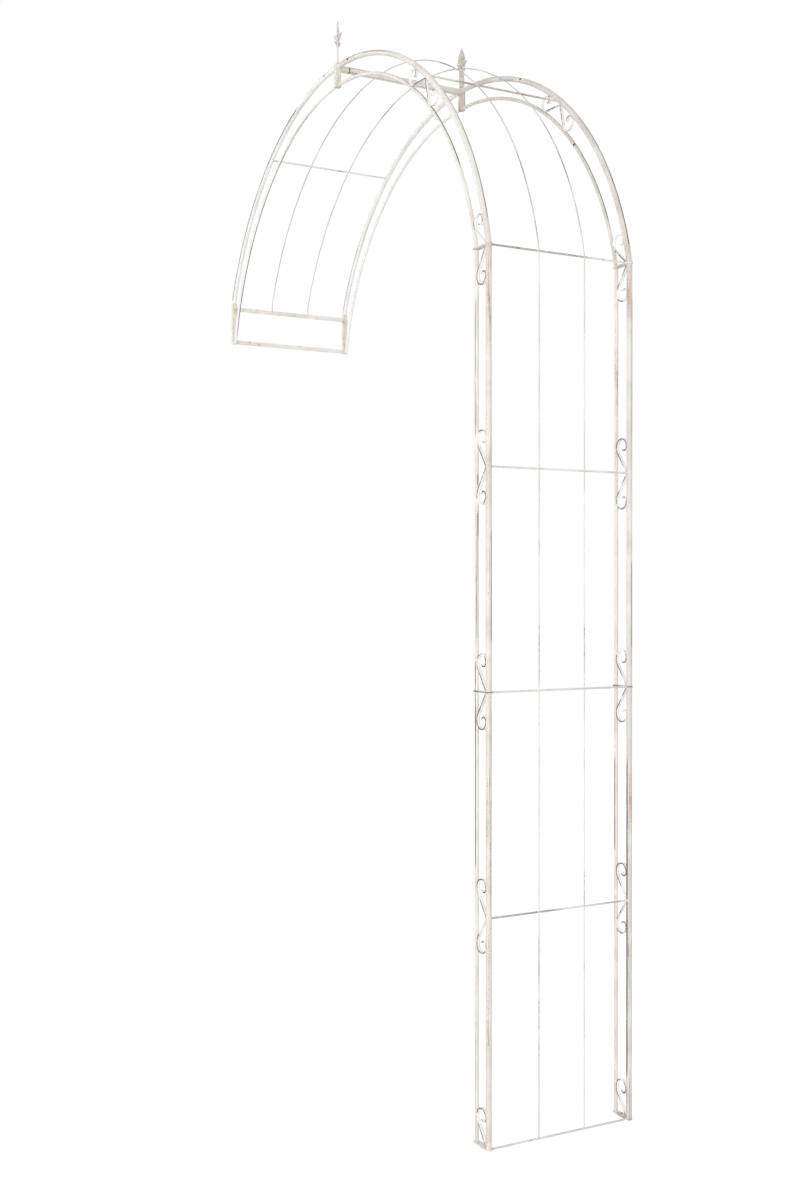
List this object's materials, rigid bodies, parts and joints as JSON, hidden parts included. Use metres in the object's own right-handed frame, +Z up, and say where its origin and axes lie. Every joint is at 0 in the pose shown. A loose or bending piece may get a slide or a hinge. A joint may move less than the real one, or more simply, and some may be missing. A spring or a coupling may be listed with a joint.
{
  "type": "garden arch",
  "caption": "Wall-fixed garden arch in distressed antique-white iron: one latticed leg with flat-strip scrolls, a round arch over the path, spear-leaf finials and a wall frame.",
  "frame": {"origin": "on the ground, in the middle of the arch's outside box", "axes": "+Z up, +X from the wall towards the leg, +Y along the path, from the near ladder to the far one"},
  "size_m": [1.368, 0.3728, 2.4809],
  "materials": {
    "frame_paint": "distressed satin",
    "wire_paint": "distressed satin",
    "scroll_paint": "distressed satin",
    "finial_paint": "distressed satin",
    "bare_steel": "dull"
  },
  "bodies": {
    "arch": {"crown_crossbar": "frame_paint", "far_arch_scroll": "scroll_paint", "far_arch_start_scroll": "scroll_paint", "far_crown_post": "frame_paint", "far_foot_plate": "frame_paint", "far_foot_scroll": "scroll_paint", "far_leg_arch_inner_bar": "frame_paint", "far_leg_arch_outer_tube": "frame_paint", "far_lower_end_scroll": "scroll_paint", "far_lower_inner_rail": "frame_paint", "far_lower_outer_rail": "frame_paint", "far_lower_scroll": "scroll_paint", "far_seam_plate": "frame_paint", "far_springing_plate": "frame_paint", "far_upper_end_scroll": "scroll_paint", "far_upper_inner_rail": "frame_paint", "far_upper_outer_rail": "frame_paint", "far_upper_scroll": "scroll_paint", "far_upper_start_scroll": "scroll_paint", "far_wall_arch_inner_bar": "frame_paint", "far_wall_arch_outer_tube": "frame_paint", "far_wall_upright": "frame_paint", "foot_rod": "wire_paint", "joint_spigots": "bare_steel", "leg_arch_rod": "wire_paint", "leg_arch_wires": "wire_paint", "lower_rod": "wire_paint", "lower_wires": "wire_paint", "near_arch_scroll": "scroll_paint", "near_arch_start_scroll": "scroll_paint", "near_crown_post": "frame_paint", "near_foot_plate": "frame_paint", "near_foot_scroll": "scroll_paint", "near_leg_arch_inner_bar": "frame_paint", "near_leg_arch_outer_tube": "frame_paint", "near_lower_end_scroll": "scroll_paint", "near_lower_inner_rail": "frame_paint", "near_lower_outer_rail": "frame_paint", "near_lower_scroll": "scroll_paint", "near_seam_plate": "frame_paint", "near_springing_plate": "frame_paint", "near_upper_end_scroll": "scroll_paint", "near_upper_inner_rail": "frame_paint", "near_upper_outer_rail": "frame_paint", "near_upper_scroll": "scroll_paint", "near_upper_start_scroll": "scroll_paint", "near_wall_arch_inner_bar": "frame_paint", "near_wall_arch_outer_tube": "frame_paint", "near_wall_upright": "frame_paint", "seam_rod": "wire_paint", "springing_rod": "wire_paint", "upper_rod": "wire_paint", "upper_wires": "wire_paint", "wall_arch_rod": "wire_paint", "wall_arch_wires": "wire_paint", "wall_lower_bar": "frame_paint", "wall_upper_bar": "frame_paint"},
    "near_finial": {"near_finial": "finial_paint"},
    "far_finial": {"far_finial": "finial_paint"}
  },
  "joints": [
    {"name": "near_finial_turn", "type": "hinge", "parent": "arch", "child": "near_finial", "pos_m": [-0.007, -0.1735, 2.37886], "axis": [0, 0, 1], "continuous": true},
    {"name": "far_finial_turn", "type": "hinge", "parent": "arch", "child": "far_finial", "pos_m": [-0.007, 0.1735, 2.37886], "axis": [0, 0, 1], "continuous": true}
  ]
}
